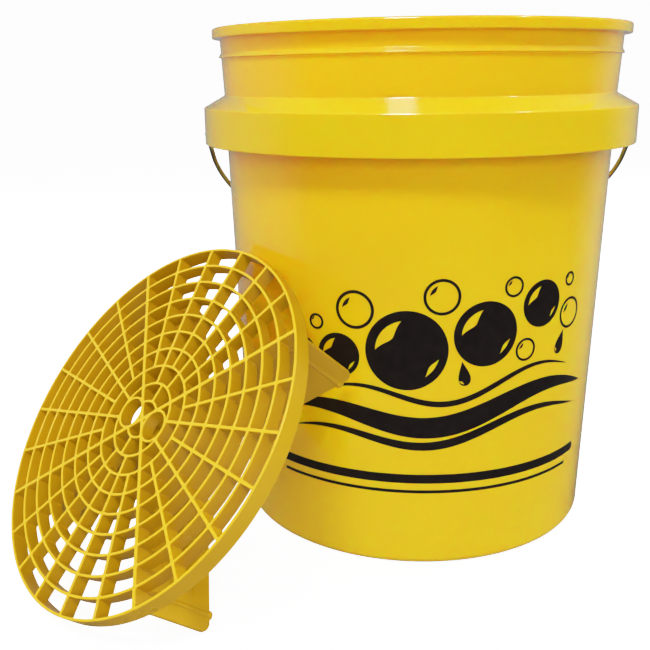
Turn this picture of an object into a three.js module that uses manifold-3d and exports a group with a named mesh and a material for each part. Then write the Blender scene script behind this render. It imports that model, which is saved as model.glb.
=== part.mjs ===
// Wash bucket: a moulded plastic pail, its wire bail with a roller grip, and the grit guard
// that goes inside it, taken out and leaned against its side.
// Millimetres, +Z up. The origin is the centre of the pail's base, on the surface it stands on.
// X runs along the bail's hinge axis and -Y is the printed front.
import * as THREE from "three";
import { mergeVertices } from "three/addons/utils/BufferGeometryUtils.js";
import Module from "manifold-3d";

// Pail
const HEIGHT = 361;
const RIM_RADIUS = 149.5;
const RIM_DEPTH = 6.1; // height of the bead round the mouth
const RIM_TOP_ROUND = 1.6;
const RIM_LOWER_ROUND = 1;
const RIM_INNER_CHAMFER = 0.6;
const BASE_RADIUS = 132.5;
const BASE_ROUND = 6; // corner between the base and the wall
const WALL = 2.2;
const FLOOR_TOP = 5; // inside surface of the floor
const FLOOR_ROUND = 5; // corner between the floor and the wall, inside
const BASE_RECESS = 2.2; // the base stands on its outer ring and on a pad in its middle
const BASE_PAD_RADIUS = 24;
const FOOT_RING_WIDTH = 10;
const BASE_STEP = 1; // width of the slopes round the recess
const RIDGE_HEIGHT = 342.6; // thin ring below the mouth
const RIDGE_REACH = 1;
const RIDGE_THICKNESS = 0.9;
const RIDGE_LEAD_IN = 0.5; // slope below it
const RIDGE_LEAD_OUT = 2; // slope above it
const NECK_BOTTOM = 315.2;
const NECK_RADIUS = 142.1; // at the neck's lower end
const NECK_FLARE = 0.052; // growth in radius for each millimetre of height
const SKIRT_RADIUS = 157.2;
const SKIRT_TOP = 306.8;
const SKIRT_BOTTOM = 281;
const SKIRT_EDGE_IN = 0.6; // bevel between the skirt and the chamfer above it
const SKIRT_EDGE_UP = 0.2;
const SKIRT_EDGE_DOWN = 0.5;
const CHANNEL_TOP = 305.6; // open channel between the skirt and the wall
const CHANNEL_CROWN = 309.4;
const CHANNEL_CROWN_OUT = 1.6;
const CHANNEL_OUTER_TOP = 304.4;
const WALL_RADIUS = 141.2; // of the outer wall, level with the skirt's lower edge
const PAIL_SEGMENTS = 60;

// Bail ears, inside the skirt
const PIVOT_HEIGHT = 287.5;
const EAR_WIDTH = 20;
const EAR_TOP = 299;
const EAR_BOTTOM = 281.6;
const EAR_INNER = 141.9;
const EAR_OUTER = 154.3;
const EAR_ROUND = 4;
const PIVOT_HOLE_RADIUS = 1.95;

// Bail
const WIRE_RADIUS = 1.6;
const WIRE_SIDES = 10;
const BAIL_HALF_WIDTH = 159.2; // centre of each leg
const BAIL_LENGTH = 197.6; // hinge axis to the middle of the grip
const BAIL_LEG = 30.7; // straight part of each leg
const BAIL_LEG_PULL = 75; // how far the bow keeps the leg's direction
const BAIL_TOP_PULL = 21; // how far it keeps the grip's direction
const BAIL_GRIP_HALF = 52; // straight part under the grip
const HOOK_BEND = 2.4;
const HOOK_END = 145; // the wire's end inside the ear
const BAIL_DROOP = 40.6; // degrees below level, hanging behind the pail

// Grip
const GRIP_LENGTH = 94;
const GRIP_RADIUS = 10.4;
const GRIP_END_RADIUS = 11.2;
const GRIP_END_ROUND = 2;
const GRIP_END_LENGTH = 5;
const GRIP_END_SLOPE = 2;
const GRIP_BORE = 2.1;
const GRIP_SEGMENTS = 24;

// Grit guard: local X and Y lie in its top face, local Z is that face's normal
const GUARD_RADIUS = 131.4; // centre of the outer ring's wall
const RING_COUNT = 10; // equal steps from the centre to the outer ring
const SPOKE_COUNT = 24;
const INNER_RINGS = 4; // rings this close in have one facet to each cell
const INNER_RING_SEGMENTS = 24;
const RING_SEGMENTS = 48;
const RIB_WIDTH = 1.8;
const MAIN_RIB_WIDTH = 2.6;
const OUTER_RIB_WIDTH = 1.8;
const RIB_DEPTH = 10;
const OUTER_RIB_DEPTH = 12;
const FINGER_RING_RADIUS = 10.8;
const FINGER_RING_DISTANCE = 15.3;
const FINGER_SEGMENTS = 24;
const VANE_WIDTH = 2;
const VANE_START = 2;
const VANE_END = 130.1;
const VANE_DEPTH = 62.9;
const VANE_ROUND = 8;
const VANE_BEAD_RADIUS = 2.1;
const VANE_BEAD_AT = 118.5;
const VANE_FOOT = 0.9; // how far the bead stands below the vane
const GAP = 0.3;

// Where the guard leans
const GUARD_CENTRE = new THREE.Vector3(-183.05, -143.47, 110.14);
const GUARD_HEADING = -136.8; // degrees, direction its face looks towards
const GUARD_ELEVATION = 39.24; // degrees, how far its face looks up
const GUARD_SPIN = 44.05; // degrees, turn about its own centre

const wasm = await Module();
wasm.setup();

const plastic = new THREE.MeshStandardMaterial({ color: 0xe4c41c, roughness: 0.32, metalness: 0 });
const steel = new THREE.MeshStandardMaterial({ color: 0x8c7c52, roughness: 0.38, metalness: 0.9 });
const gripPlastic = new THREE.MeshStandardMaterial({ color: 0x1c1c1e, roughness: 0.5, metalness: 0 });

const radians = THREE.MathUtils.degToRad;

function solidOf(geometry) {
  const bare = geometry.clone();
  bare.deleteAttribute("normal");
  bare.deleteAttribute("uv");
  const merged = mergeVertices(bare, 1e-4);
  const vertProperties = new Float32Array(merged.attributes.position.array);
  const triVerts = new Uint32Array(merged.index.array);
  return new wasm.Manifold(new wasm.Mesh({ numProp: 3, vertProperties, triVerts }));
}

function geometryOf(solid) {
  const { vertProperties, triVerts, numProp } = solid.getMesh();
  if (numProp !== 3) throw new Error("expected positions only");
  const geometry = new THREE.BufferGeometry();
  geometry.setAttribute("position", new THREE.BufferAttribute(vertProperties, 3));
  geometry.setIndex(new THREE.BufferAttribute(triVerts, 1));
  geometry.computeVertexNormals();
  return geometry;
}

function joined(solids) {
  return solids.reduce((whole, solid) => whole.add(solid));
}

function named(name, geometry, material) {
  const mesh = new THREE.Mesh(geometry, material);
  mesh.name = name;
  return mesh;
}

// Points of an arc for a lathe or shape outline, angles in degrees.
function arc(x, y, radius, from, to, steps) {
  return Array.from({ length: steps + 1 }, (_, i) => {
    const angle = radians(from + ((to - from) * i) / steps);
    return new THREE.Vector2(x + radius * Math.cos(angle), y + radius * Math.sin(angle));
  });
}

function turnedAboutZ(profile, segments) {
  return new THREE.LatheGeometry(profile, segments).rotateX(Math.PI / 2);
}

const neckRadiusAt = (z) => NECK_RADIUS + (z - NECK_BOTTOM) * NECK_FLARE;
const wallRadiusAt = (z) => BASE_RADIUS + ((WALL_RADIUS - BASE_RADIUS) * z) / SKIRT_BOTTOM;

// The pail's section, from the middle of the base, up the outside and down the inside.
function pailProfile() {
  const point = (r, z) => new THREE.Vector2(r, z);
  const foot = BASE_RADIUS - BASE_ROUND;
  const beadBottom = HEIGHT - RIM_DEPTH;
  const floorEdge = BASE_RADIUS - WALL - FLOOR_ROUND;
  const ridge = neckRadiusAt(RIDGE_HEIGHT) + RIDGE_REACH;
  const ridgeBottom = RIDGE_HEIGHT - RIDGE_THICKNESS;
  const inner = (z) => neckRadiusAt(z) - WALL;
  return [
    point(0, 0),
    point(BASE_PAD_RADIUS, 0),
    point(BASE_PAD_RADIUS + BASE_STEP, BASE_RECESS),
    point(foot - FOOT_RING_WIDTH - BASE_STEP, BASE_RECESS),
    point(foot - FOOT_RING_WIDTH, 0),
    ...arc(foot, BASE_ROUND, BASE_ROUND, -90, 0, 4),
    point(WALL_RADIUS, SKIRT_BOTTOM),
    point(wallRadiusAt(CHANNEL_TOP), CHANNEL_TOP),
    point(wallRadiusAt(CHANNEL_TOP) + CHANNEL_CROWN_OUT, CHANNEL_CROWN),
    point(SKIRT_RADIUS - WALL, CHANNEL_OUTER_TOP),
    point(SKIRT_RADIUS - WALL, SKIRT_BOTTOM),
    point(SKIRT_RADIUS, SKIRT_BOTTOM),
    point(SKIRT_RADIUS, SKIRT_TOP - SKIRT_EDGE_DOWN),
    point(SKIRT_RADIUS - SKIRT_EDGE_IN, SKIRT_TOP + SKIRT_EDGE_UP),
    point(NECK_RADIUS, NECK_BOTTOM),
    point(neckRadiusAt(ridgeBottom - RIDGE_LEAD_IN), ridgeBottom - RIDGE_LEAD_IN),
    point(ridge, ridgeBottom),
    point(ridge, RIDGE_HEIGHT),
    point(neckRadiusAt(RIDGE_HEIGHT + RIDGE_LEAD_OUT), RIDGE_HEIGHT + RIDGE_LEAD_OUT),
    point(neckRadiusAt(beadBottom), beadBottom),
    ...arc(RIM_RADIUS - RIM_LOWER_ROUND, beadBottom + RIM_LOWER_ROUND, RIM_LOWER_ROUND, -90, 0, 2),
    ...arc(RIM_RADIUS - RIM_TOP_ROUND, HEIGHT - RIM_TOP_ROUND, RIM_TOP_ROUND, 0, 90, 3),
    point(inner(HEIGHT) + RIM_INNER_CHAMFER, HEIGHT),
    point(inner(HEIGHT), HEIGHT - RIM_INNER_CHAMFER),
    point(inner(NECK_BOTTOM), NECK_BOTTOM - 1),
    point(WALL_RADIUS - WALL, SKIRT_BOTTOM),
    ...arc(floorEdge, FLOOR_TOP + FLOOR_ROUND, FLOOR_ROUND, 0, -90, 3),
    point(0, FLOOR_TOP),
  ];
}

function alongX(radius, from, to, sides) {
  const geometry = new THREE.CylinderGeometry(radius, radius, to - from, sides);
  return geometry.rotateZ(-Math.PI / 2).translate((from + to) / 2, 0, PIVOT_HEIGHT);
}

function bucketShell() {
  const hole = alongX(PIVOT_HOLE_RADIUS, EAR_OUTER - 1, SKIRT_RADIUS + 2, 16);
  const otherHole = hole.clone().rotateZ(Math.PI);
  const pail = solidOf(turnedAboutZ(pailProfile(), PAIL_SEGMENTS));
  const pierced = pail.subtract(solidOf(hole)).subtract(solidOf(otherHole));
  return named("bucket_shell", geometryOf(pierced), plastic);
}

// A block that fills the channel behind the skirt, bored for the wire's end. side is 1 or -1.
function bailEar(name, side) {
  const half = EAR_WIDTH / 2;
  const roundCentre = EAR_TOP - PIVOT_HEIGHT - EAR_ROUND;
  const outline = new THREE.Shape([
    new THREE.Vector2(-half, EAR_BOTTOM - PIVOT_HEIGHT),
    new THREE.Vector2(half, EAR_BOTTOM - PIVOT_HEIGHT),
    ...arc(half - EAR_ROUND, roundCentre, EAR_ROUND, 0, 90, 4),
    ...arc(EAR_ROUND - half, roundCentre, EAR_ROUND, 90, 180, 4),
  ]);
  outline.holes.push(new THREE.Path(arc(0, 0, PIVOT_HOLE_RADIUS, 0, 337.5, 15)));
  const depth = EAR_OUTER - EAR_INNER;
  const geometry = new THREE.ExtrudeGeometry(outline, { depth, bevelEnabled: false });
  geometry.rotateX(Math.PI / 2).rotateZ(Math.PI / 2).translate(EAR_INNER, 0, PIVOT_HEIGHT);
  if (side < 0) geometry.rotateZ(Math.PI);
  return named(name, geometry, plastic);
}

// The wire's centreline in the bail's own plane: X across, Y from the hinge axis to the grip.
class BailPath extends THREE.Curve {
  constructor() {
    super();
    const at = (x, y) => new THREE.Vector3(x, y, 0);
    const a = BAIL_HALF_WIDTH;
    const half = [
      [new THREE.LineCurve3(at(HOOK_END, 0), at(a - HOOK_BEND, 0)), 1],
      [new THREE.QuadraticBezierCurve3(at(a - HOOK_BEND, 0), at(a, 0), at(a, HOOK_BEND)), 4],
      [new THREE.LineCurve3(at(a, HOOK_BEND), at(a, BAIL_LEG)), 2],
      [
        new THREE.CubicBezierCurve3(
          at(a, BAIL_LEG),
          at(a, BAIL_LEG + BAIL_LEG_PULL),
          at(BAIL_GRIP_HALF + BAIL_TOP_PULL, BAIL_LENGTH),
          at(BAIL_GRIP_HALF, BAIL_LENGTH),
        ),
        18,
      ],
      [new THREE.LineCurve3(at(BAIL_GRIP_HALF, BAIL_LENGTH), at(0, BAIL_LENGTH)), 1],
    ];
    this.half = half;
    this.halfSteps = half.reduce((sum, [, steps]) => sum + steps, 0);
    this.steps = 2 * this.halfSteps;
  }

  // Each stretch takes its own number of steps, so t runs by steps rather than by length.
  getUtoTmapping(u) {
    return u;
  }

  getPoint(t) {
    const mirrored = t > 0.5;
    let step = (mirrored ? 1 - t : t) * this.steps;
    for (const [curve, steps] of this.half) {
      if (step <= steps + 1e-9) {
        const point = curve.getPoint(Math.min(step / steps, 1));
        return mirrored ? point.setX(-point.x) : point;
      }
      step -= steps;
    }
    return this.half.at(-1)[0].getPoint(1);
  }
}

function bailWire() {
  const path = new BailPath();
  const section = new THREE.Shape(
    arc(0, 0, WIRE_RADIUS, 0, 360 - 360 / WIRE_SIDES, WIRE_SIDES - 1),
  );
  const options = { steps: path.steps, extrudePath: path, bevelEnabled: false };
  return named("bail_wire", new THREE.ExtrudeGeometry(section, options), steel);
}

function bailGrip() {
  const half = GRIP_LENGTH / 2;
  const collar = half - GRIP_END_LENGTH;
  const point = (r, x) => new THREE.Vector2(r, x);
  const profile = [
    point(GRIP_BORE, -half),
    ...arc(GRIP_END_RADIUS - GRIP_END_ROUND, GRIP_END_ROUND - half, GRIP_END_ROUND, -90, 0, 3),
    point(GRIP_END_RADIUS, -collar),
    point(GRIP_RADIUS, GRIP_END_SLOPE - collar),
    point(GRIP_RADIUS, collar - GRIP_END_SLOPE),
    point(GRIP_END_RADIUS, collar),
    ...arc(GRIP_END_RADIUS - GRIP_END_ROUND, half - GRIP_END_ROUND, GRIP_END_ROUND, 0, 90, 3),
    point(GRIP_BORE, half),
    point(GRIP_BORE, -half),
  ];
  const geometry = new THREE.LatheGeometry(profile, GRIP_SEGMENTS).rotateZ(-Math.PI / 2);
  return named("bail_grip", geometry.translate(0, BAIL_LENGTH, 0), gripPlastic);
}

function bail() {
  const group = new THREE.Group();
  group.position.z = PIVOT_HEIGHT;
  group.rotation.x = radians(-BAIL_DROOP);
  group.add(bailWire(), bailGrip());
  return group;
}

// A ring rib of the guard, from the top face down.
function ringRib(radius, width, depth, segments, x = 0, y = 0) {
  const last = 360 - 360 / segments;
  const outline = new THREE.Shape(arc(x, y, radius + width / 2, 0, last, segments - 1));
  outline.holes.push(new THREE.Path(arc(x, y, radius - width / 2, 0, last, segments - 1)));
  const geometry = new THREE.ExtrudeGeometry(outline, { depth, bevelEnabled: false });
  return solidOf(geometry.translate(0, 0, -depth));
}

// A rib that spans the angles from and to, in degrees, at one radius.
function arcRib(radius, width, from, to, steps) {
  const outline = new THREE.Shape([
    ...arc(0, 0, radius + width / 2, from, to, steps),
    ...arc(0, 0, radius - width / 2, to, from, steps),
  ]);
  const geometry = new THREE.ExtrudeGeometry(outline, { depth: RIB_DEPTH, bevelEnabled: false });
  return solidOf(geometry.translate(0, 0, -RIB_DEPTH));
}

// A straight rib along one direction, in degrees.
function straightRib(angle, from, to, width) {
  const geometry = new THREE.BoxGeometry(to - from, width, RIB_DEPTH);
  geometry.translate((from + to) / 2, 0, -RIB_DEPTH / 2).rotateZ(radians(angle));
  return solidOf(geometry);
}

function guardGrid() {
  const step = GUARD_RADIUS / RING_COUNT;
  const ribs = [ringRib(GUARD_RADIUS, OUTER_RIB_WIDTH, OUTER_RIB_DEPTH, RING_SEGMENTS)];
  for (let ring = 2; ring < RING_COUNT; ring += 1) {
    const segments = ring <= INNER_RINGS ? INNER_RING_SEGMENTS : RING_SEGMENTS;
    ribs.push(ringRib(ring * step, RIB_WIDTH, RIB_DEPTH, segments));
  }
  for (let spoke = 0; spoke < SPOKE_COUNT; spoke += 1) {
    const angle = (spoke * 360) / SPOKE_COUNT;
    const isMain = angle % 90 === 0;
    const starts = isMain ? 0 : (angle % 90) % 30 === 0 ? 2 * step : 3 * step;
    const width = isMain ? MAIN_RIB_WIDTH : RIB_WIDTH;
    ribs.push(straightRib(angle, starts, GUARD_RADIUS, width));
  }
  // Two opposite quarters of the hub have a small arc and a stub, the others a finger hole.
  for (const angle of [45, 225]) {
    ribs.push(arcRib(step, RIB_WIDTH, angle - 45, angle + 45, 6));
    ribs.push(straightRib(angle, step, 2 * step, RIB_WIDTH));
  }
  for (const angle of [135, 315]) {
    const x = FINGER_RING_DISTANCE * Math.cos(radians(angle));
    const y = FINGER_RING_DISTANCE * Math.sin(radians(angle));
    ribs.push(ringRib(FINGER_RING_RADIUS, RIB_WIDTH, RIB_DEPTH, FINGER_SEGMENTS, x, y));
  }
  return named("guard_grid", geometryOf(joined(ribs)), plastic);
}

// A vane stands under a main rib. Its outline is drawn as distance from the centre and depth.
function guardVane(name, angle) {
  const top = -RIB_DEPTH - GAP;
  const outline = new THREE.Shape([
    new THREE.Vector2(VANE_START, top),
    new THREE.Vector2(VANE_START, -VANE_DEPTH),
    ...arc(VANE_END - VANE_ROUND, VANE_ROUND - VANE_DEPTH, VANE_ROUND, -90, 0, 4),
    new THREE.Vector2(VANE_END, top),
  ]);
  const plate = new THREE.ExtrudeGeometry(outline, { depth: VANE_WIDTH, bevelEnabled: false });
  plate.rotateX(Math.PI / 2).translate(0, VANE_WIDTH / 2, 0);
  const beadLength = VANE_DEPTH + VANE_FOOT + top;
  const bead = new THREE.CylinderGeometry(VANE_BEAD_RADIUS, VANE_BEAD_RADIUS, beadLength, 10);
  bead.rotateX(Math.PI / 2).translate(VANE_BEAD_AT, 0, top - beadLength / 2);
  const geometry = geometryOf(solidOf(plate).add(solidOf(bead)));
  return named(name, geometry.rotateZ(radians(angle)), plastic);
}

function gritGuard() {
  const group = new THREE.Group();
  const facing = new THREE.Matrix4()
    .makeRotationZ(radians(GUARD_HEADING - 90))
    .multiply(new THREE.Matrix4().makeRotationX(radians(GUARD_ELEVATION - 90)))
    .multiply(new THREE.Matrix4().makeRotationZ(radians(GUARD_SPIN + 180)));
  group.applyMatrix4(facing);
  group.position.copy(GUARD_CENTRE);
  group.add(
    guardGrid(),
    guardVane("guard_right_vane", 0),
    guardVane("guard_upper_vane", 90),
    guardVane("guard_left_vane", 180),
    guardVane("guard_lower_vane", 270),
  );
  return group;
}

const washBucket = new THREE.Group();
washBucket.add(
  bucketShell(),
  bailEar("right_bail_ear", 1),
  bailEar("left_bail_ear", -1),
  bail(),
  gritGuard(),
);

export default washBucket;
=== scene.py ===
"""Looks for the wash bucket: pail, bail, grip, grit guard and a plain printed emblem.

Shapes are worked out in millimetres and turned into metres when a mesh is made. The row frame has
its origin at the centre of the base, +Z up, X along the bail's hinge axis and -Y to the front.
"""
import math

import bpy
import numpy as np
from mathutils import Matrix, Vector
from mathutils.geometry import delaunay_2d_cdt


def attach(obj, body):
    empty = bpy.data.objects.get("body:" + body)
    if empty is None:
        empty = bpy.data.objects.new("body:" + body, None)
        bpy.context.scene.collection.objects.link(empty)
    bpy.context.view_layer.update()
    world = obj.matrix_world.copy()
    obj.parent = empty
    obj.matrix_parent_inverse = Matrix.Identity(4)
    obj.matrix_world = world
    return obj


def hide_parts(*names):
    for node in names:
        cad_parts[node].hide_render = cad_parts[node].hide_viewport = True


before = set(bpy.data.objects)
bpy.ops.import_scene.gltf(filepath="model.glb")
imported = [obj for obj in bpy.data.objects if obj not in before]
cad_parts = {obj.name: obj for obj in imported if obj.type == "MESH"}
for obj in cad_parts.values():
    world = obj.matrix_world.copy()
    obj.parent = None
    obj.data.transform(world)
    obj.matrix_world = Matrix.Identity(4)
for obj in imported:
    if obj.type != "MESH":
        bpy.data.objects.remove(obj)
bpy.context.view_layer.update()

MM = 0.001
ON_AXIS = 1e-6  # a smaller radius is a point on the axis

# Pail, all in millimetres
HEIGHT = 361
RIM_RADIUS = 149.5
RIM_DEPTH = 7
BASE_RADIUS = 132.5
WALL = 2.2
FLOOR_TOP = 5
BASE_RECESS = 2.2
BASE_PAD_RADIUS = 24
FOOT_RING_INNER = 116.5
RIDGE_HEIGHT = 342.2  # thin ring below the mouth
RIDGE_REACH = 1.6
RIDGE_FOOT = 1.4  # where the ring starts below its height, and where it runs out above
RIDGE_RUN_OUT = 2.2
NECK_BOTTOM = 315.2
NECK_RADIUS = 142.1
NECK_FLARE = 0.052
SKIRT_RADIUS = 157.2
SKIRT_TOP = 306.8
SKIRT_BOTTOM = 281
WALL_RADIUS = 141.2
CHANNEL_TOP = 305.6  # the open channel behind the skirt
CHANNEL_REACH = 1.6
CHANNEL_RISE = 3.8
PAIL_SEGMENTS = 192

# Bail and its ears
PIVOT_HEIGHT = 287.5
PIVOT_HOLE_RADIUS = 1.95
HOLE_SEGMENTS = 20
HOLE_LIP = 0.2
HOLE_ROOM = 3.4  # the skirt has rows this far above and below the wire's hole
EAR_INNER = 141.9
EAR_OUTER = 154.3
EAR_HALF_WIDTH = 10
EAR_BOTTOM = 281.6
EAR_TOP = 299
EAR_OVERLAP = 0.5  # how far an ear reaches into the wall
EAR_EDGE = 0.5
WIRE_RADIUS = 1.8
WIRE_SIDES = 20
DOME_SHARES = (0.6, 0.25)  # steps of the domed ends of the wire
DOME_LENGTH = 0.35
DOME_TIP = 0.55
BAIL_HALF_WIDTH = 159.2
BAIL_LENGTH = 197.6
BAIL_LEG = 30.7
BAIL_LEG_PULL = 75
BAIL_TOP_PULL = 21
BAIL_GRIP_HALF = 52
HOOK_BEND = 2.4
HOOK_END = 145
BAIL_DROOP = 40.6
GRIP_LENGTH = 94
GRIP_RADIUS = 10.4
GRIP_END_RADIUS = 11.2
GRIP_END_LENGTH = 5
GRIP_BORE = 2.1
GRIP_GROOVES = 9
GRIP_GROOVE_DEPTH = 0.45
GRIP_GROOVE_MARGIN = 11  # from each end to the middle of the first groove
GRIP_GROOVE_OUTER_HALF = 1.6
GRIP_GROOVE_INNER_HALF = 0.8
GRIP_SEGMENTS = 64

# Grit guard, in its own frame: X and Y in its top face, Z out of that face
GUARD_RADIUS = 131.4
RINGS = 10
RING_STEP = 13.14
RIB_WIDTH = 1.8
SPOKE_WIDTH = 2.15
MAIN_RIB_WIDTH = 2.6
OUTER_RIB_WIDTH = 1.8
RIB_DEPTH = 10
OUTER_RIB_DEPTH = 12
RIB_EDGE = 0.42  # radius of the ribs' edges
RIB_DRAFT = 0.05
CELL_ROUND = 1.1  # how far from a crossing its fillet starts
MIDDLE_CELL_ROUND = 1.4
FINGER_RING_RADIUS = 10.8
FINGER_RING_DISTANCE = 15.3
RING_LIFT = 0.05  # the outer ring stands this far above the ribs
RING_OVERLAP = 0.15  # the ribs' outline ends this far inside it,
CELL_OVERLAP = 0.2  # and it covers the edge of the outer openings by this much
GUARD_SEGMENTS = 240
VANE_WIDTH = 2
VANE_END = 131
VANE_TAPER = 0.6  # how much nearer the middle its lower corner is
VANE_DEPTH = 63
VANE_ROUND = 8
VANE_EDGE = 0.6
VANE_OVERLAP = 0.6  # how far a vane reaches up into the ribs, and then its bead
BEAD_OVERLAP = 0.8
VANE_BEAD_RADIUS = 2.1
VANE_BEAD_AT = 118.5
VANE_FOOT = 0.9
VANE_FOOT_RADIUS = 3
GUARD_CENTRE = Vector((-183.05, -143.47, 110.14))
GUARD_HEADING = -136.8
GUARD_ELEVATION = 39.24
GUARD_SPIN = 44.05
GUARD_TURN = (
    Matrix.Rotation(math.radians(GUARD_HEADING - 90), 3, "Z")
    @ Matrix.Rotation(math.radians(GUARD_ELEVATION - 90), 3, "X")
    @ Matrix.Rotation(math.radians(GUARD_SPIN + 180), 3, "Z")
)
GUARD_NORMAL = GUARD_TURN @ Vector((0, 0, 1))

# Printed emblem, drawn on the unrolled wall: along it from the front's middle, and up
INK_RADIUS = 137  # arc lengths on the drawing are measured at this radius
INK_LIFT = 0.07
INK_SINK = 0.05
INK_STEP_ALONG = 3.5  # spacing of the points inside a printed area, which follow the wall's curve
INK_STEP_UP = 6
INK_CLEAR = 0.8  # and their least distance from its edge
BUBBLES = (  # along, up, radius
    (-8, 157, 27), (44, 167, 22), (-54, 151, 15), (86, 183, 16),
    (-42, 183, 13), (14, 193, 12), (74, 153, 8), (115, 172, 11),
    (-80, 152, 8), (62, 197, 7), (-70, 172, 5.5), (112, 196, 5),
)
SOLID_RADIUS = 14  # bubbles larger than this are solid
DROPS = ((106, 151, 6, -18), (30, 139, 6, 10))  # along, up, radius, tilt in degrees
SWELLS = (  # left end, right end, level, rise, height, thickness, phase
    (-104, 140, 104, 16, 8, 15, 0.05),
    (-92, 132, 90, 16, 7, 6, 0.08),
    (-74, 118, 121, 15, 8, 4, 0.02),
)
SWELL_WAVES = 1.5
RULES = ((-116, 140, 66, 6.5), (-104, 128, 56.5, 2.2))  # left end, right end, level, thickness

# Camera, in metres, degrees and millimetres of lens on a sensor 36 mm wide
CAMERA_PLACE = (-0.0203, -0.6907, 0.3301)
CAMERA_YAW = -4.15
CAMERA_PITCH = -15.70
CAMERA_ROLL = -0.669
LENS = 49.67
SENSOR = 36

# Studio
SHEET_RADIUS = 4500
SHEET_BEND = 2200
SHEET_HEIGHT = 5000
GROUND_RADIUS = 900
ROOM_PALE_AZIMUTH = 200
ROOM_FRONT = (0.06, 0.06, 0.06)
ROOM_BACK = (0.34, 0.34, 0.33)
ROOM_FLOOR = (0.14, 0.14, 0.14)
ROOM_ABOVE = (0.29, 0.29, 0.29)
FILM = ((0, 0), (0.25, 0.24), (0.6, 0.54), (1.0, 0.76), (1.5, 0.90), (2.6, 1.0))  # light, then tone
LAMPS_AIM = Vector((-0.015, -0.15, 0.31))  # the front of the skirt, in metres
LAMPS = (  # name, distance, azimuth, elevation, width, height, power, whether the gloss mirrors it
    ("key", 2.2, -13.3, 54, 0.52, 0.42, 44, True),
    ("side", 2.6, 85, 54, 0.2, 0.2, 9, True),
    ("fill", 2.4, 8, 16, 2.4, 1.0, 33, False),
    ("left", 2.2, -118, 20, 1.5, 1.5, 40, False),
    ("right", 2.2, 128, 20, 1.5, 1.5, 88, False),
)

# Plastic
GLOW_WEIGHT = 0.75
GLOW_REACH = (1, 0.2, 0.035)  # how far red, green and blue travel inside, as shares
PAINTED_LIGHT_FADE = (0.9, 0.2)  # depths below the guard's top face where its painted light starts and is full


# ---------------------------------------------------------------- materials


def material(name, **sockets):
    """A new material and its shader, with plain values on the shader's own sockets."""
    mat = bpy.data.materials.new(name)
    mat.use_nodes = True
    shader = mat.node_tree.nodes["Principled BSDF"]
    for socket, value in sockets.items():
        shader.inputs[socket.replace("_", " ")].default_value = value
    return mat, mat.node_tree.nodes, mat.node_tree.links, shader


def noise(nodes, links, scale, detail=3.0, stretch=(1, 1, 1), roughness=0.5):
    """Noise in the piece's own coordinates, in metres."""
    coordinates = nodes.new("ShaderNodeTexCoord")
    mapping = nodes.new("ShaderNodeMapping")
    mapping.inputs["Scale"].default_value = stretch
    texture = nodes.new("ShaderNodeTexNoise")
    texture.inputs["Scale"].default_value = scale
    texture.inputs["Detail"].default_value = detail
    texture.inputs["Roughness"].default_value = roughness
    links.new(coordinates.outputs["Object"], mapping.inputs["Vector"])
    links.new(mapping.outputs["Vector"], texture.inputs["Vector"])
    return texture.outputs["Fac"]


def spread(nodes, links, source, low, high, to_low, to_high):
    """Maps source from low..high to to_low..to_high."""
    node = nodes.new("ShaderNodeMapRange")
    for socket, value in zip(("From Min", "From Max", "To Min", "To Max"), (low, high, to_low, to_high)):
        node.inputs[socket].default_value = value
    links.new(source, node.inputs["Value"])
    return node.outputs["Result"]


def blend_colours(nodes, links, factor, first, second):
    """Goes from first to second. Each is a colour or another node's output."""
    node = nodes.new("ShaderNodeMix")
    node.data_type = "RGBA"
    for socket, colour in ((node.inputs["A"], first), (node.inputs["B"], second)):
        if isinstance(colour, tuple):
            socket.default_value = (*colour, 1)
        else:
            links.new(colour, socket)
    links.new(factor, node.inputs["Factor"])
    return node.outputs["Result"]


def along(nodes, links, output, way):
    """How far a point or a direction reaches along way."""
    coordinates, node = nodes.new("ShaderNodeTexCoord"), nodes.new("ShaderNodeVectorMath")
    node.operation = "DOT_PRODUCT"
    node.inputs[1].default_value = way
    links.new(coordinates.outputs[output], node.inputs[0])
    return node.outputs["Value"]


def bump(nodes, links, shader, height, strength, distance):
    node = nodes.new("ShaderNodeBump")
    node.inputs["Strength"].default_value = strength
    node.inputs["Distance"].default_value = distance
    links.new(height, node.inputs["Height"])
    links.new(node.outputs["Normal"], shader.inputs["Normal"])


def moulded_plastic(name, pale, deep, rough, grain, specular, gloss=None, painted_top_light=None):
    """Moulded polyolefin: slow drift in colour, roughness that varies within rough, fine surface grain
    as (noise scale, depth in metres). gloss is its skin as (coat weight, how far red light travels
    inside, in metres). The last argument is painted light on one face: a paler colour on it that fades
    into the body colour a little below it, as (colour, a point on the face, its normal)."""
    coat, glow = gloss or (0.0, 0.0)
    mat, nodes, links, shader = material(
        name, Specular_IOR_Level=specular, Subsurface_Weight=GLOW_WEIGHT if glow else 0.0,
        Subsurface_Radius=GLOW_REACH, Subsurface_Scale=glow, Coat_Weight=coat, Coat_Roughness=0.03,
    )
    drift = noise(nodes, links, 9, 2)
    colour = blend_colours(nodes, links, spread(nodes, links, drift, 0.35, 0.65, 0, 1), pale, deep)
    # Painted light: the top face is paler, and the walls below it keep the darker body colour as painted
    # shade.
    if painted_top_light:
        painted_light_colour, point, normal = painted_top_light
        fade = [MM * (Vector(point).dot(normal) - depth) for depth in PAINTED_LIGHT_FADE]
        painted_light_mask = spread(nodes, links, along(nodes, links, "Object", normal), *fade, 0, 1)
        colour = blend_colours(nodes, links, painted_light_mask, colour, painted_light_colour)
    links.new(colour, shader.inputs["Base Color"])
    wear = noise(nodes, links, 38, 5, (1, 1, 0.25), 0.62)
    links.new(spread(nodes, links, wear, 0.3, 0.7, *rough), shader.inputs["Roughness"])
    scale, depth = grain
    bump(nodes, links, shader, noise(nodes, links, scale, 2), 1.0, depth)
    return mat


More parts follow.
